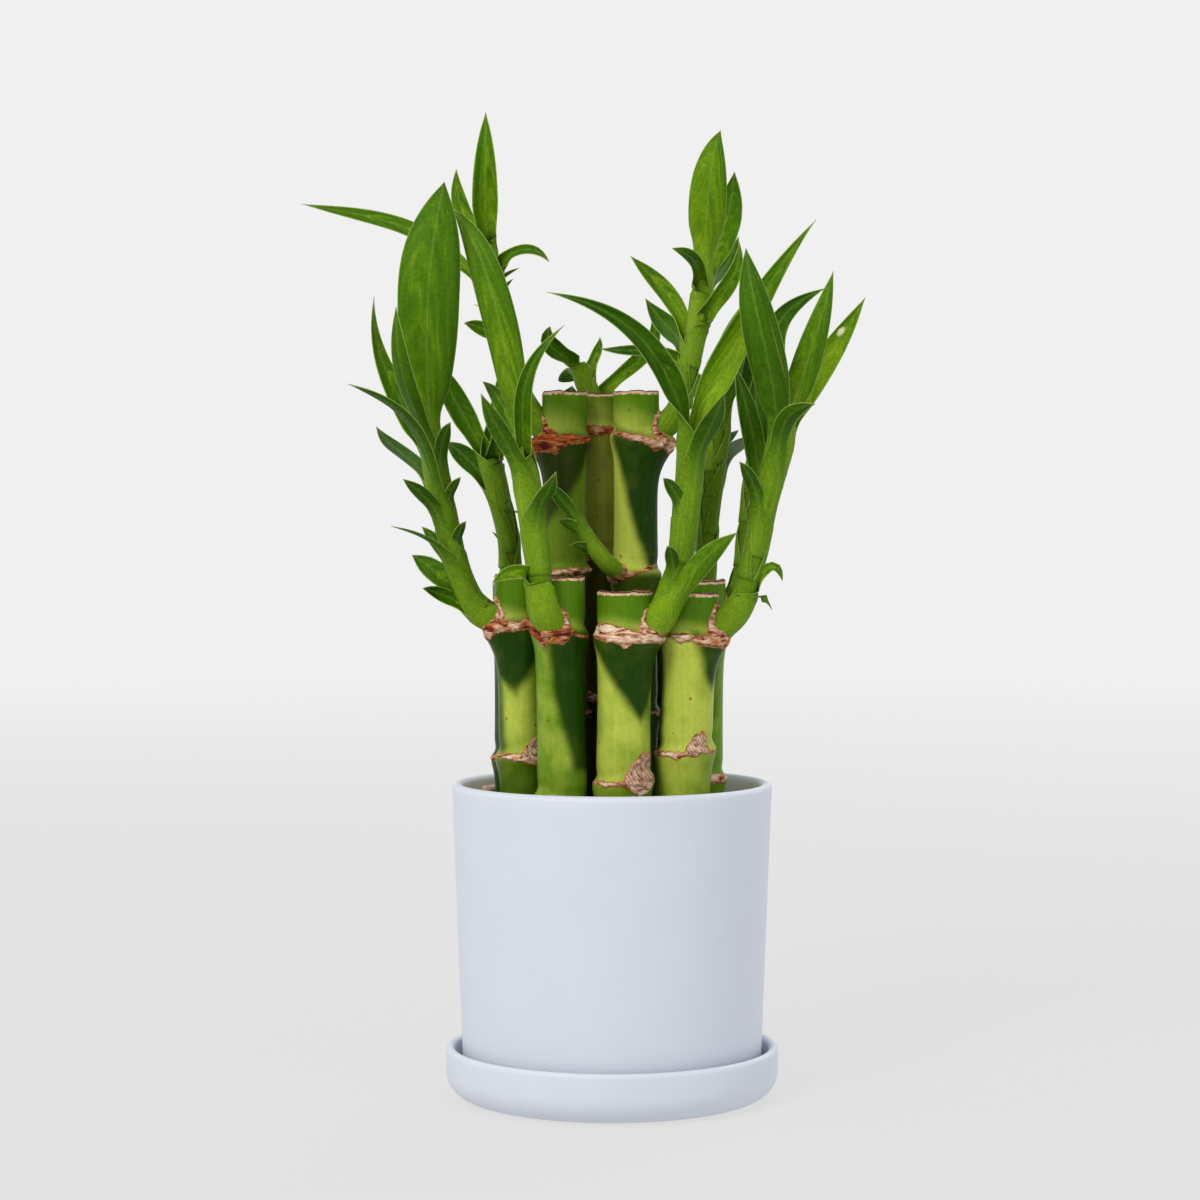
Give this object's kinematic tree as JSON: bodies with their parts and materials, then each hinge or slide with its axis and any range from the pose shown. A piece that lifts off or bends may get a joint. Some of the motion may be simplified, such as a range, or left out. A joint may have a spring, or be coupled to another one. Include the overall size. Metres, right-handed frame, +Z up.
{
  "type": "potted lucky bamboo",
  "caption": "Two tiers of cut green canes with leafy side shoots, standing in gravel in a tapering ceramic pot on a round saucer.",
  "frame": {"origin": "centre of the saucer's flat underside", "axes": "+Z up along the pot's axis, -Y toward the viewer of the front, +X to the viewer's right"},
  "size_m": [0.1511, 0.1195, 0.2582],
  "materials": {
    "ceramic": "smooth matte glaze, pale lavender white",
    "gravel": "rounded tan and pink-brown pebbles",
    "cane": "living yellow-green cane with tan papery joint rings",
    "leaf": "smooth satin leaf with fine lengthwise veins"
  },
  "bodies": {
    "root": {"saucer": "ceramic", "pot": "ceramic", "gravel": "gravel", "cane_short_1": "cane", "cane_short_2": "cane", "cane_short_3": "cane", "cane_short_4": "cane", "cane_short_5": "cane", "cane_short_6": "cane", "cane_short_7": "cane", "cane_short_8": "cane", "cane_tall_1": "cane", "cane_tall_2": "cane", "cane_tall_3": "cane", "shoot_short_1": "leaf", "shoot_short_2": "leaf", "shoot_short_3": "leaf", "shoot_short_4": "leaf", "shoot_short_5": "leaf", "shoot_short_6": "leaf", "shoot_short_7": "leaf", "shoot_short_8": "leaf", "shoot_tall_1": "leaf", "shoot_tall_2": "leaf", "shoot_tall_3": "leaf", "shoot_low": "leaf"}
  },
  "joints": []
}
